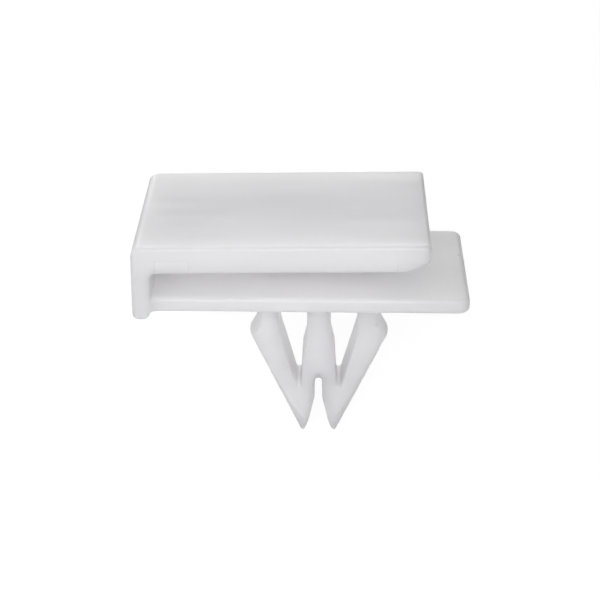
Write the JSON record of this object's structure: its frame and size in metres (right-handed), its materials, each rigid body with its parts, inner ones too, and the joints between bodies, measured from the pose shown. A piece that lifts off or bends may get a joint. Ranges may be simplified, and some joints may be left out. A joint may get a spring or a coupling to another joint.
{
  "type": "rocker panel clip",
  "caption": "Moulded nylon trim clip: an open flat clamp takes the flange of a rocker moulding, and a W-shaped snap retainer below it locks in a round panel hole.",
  "frame": {"origin": "axis of the retainer on the seat plane, the underside of the base plate", "axes": "+X towards the open end of the clamp, +Z away from the body panel, +Y across the clip, away from the side that the picture shows"},
  "size_m": [0.032, 0.0198, 0.0246],
  "materials": {
    "nylon": "satin as moulded, natural white, slightly translucent"
  },
  "bodies": {
    "root": {"panel_clip": "nylon"}
  },
  "joints": []
}
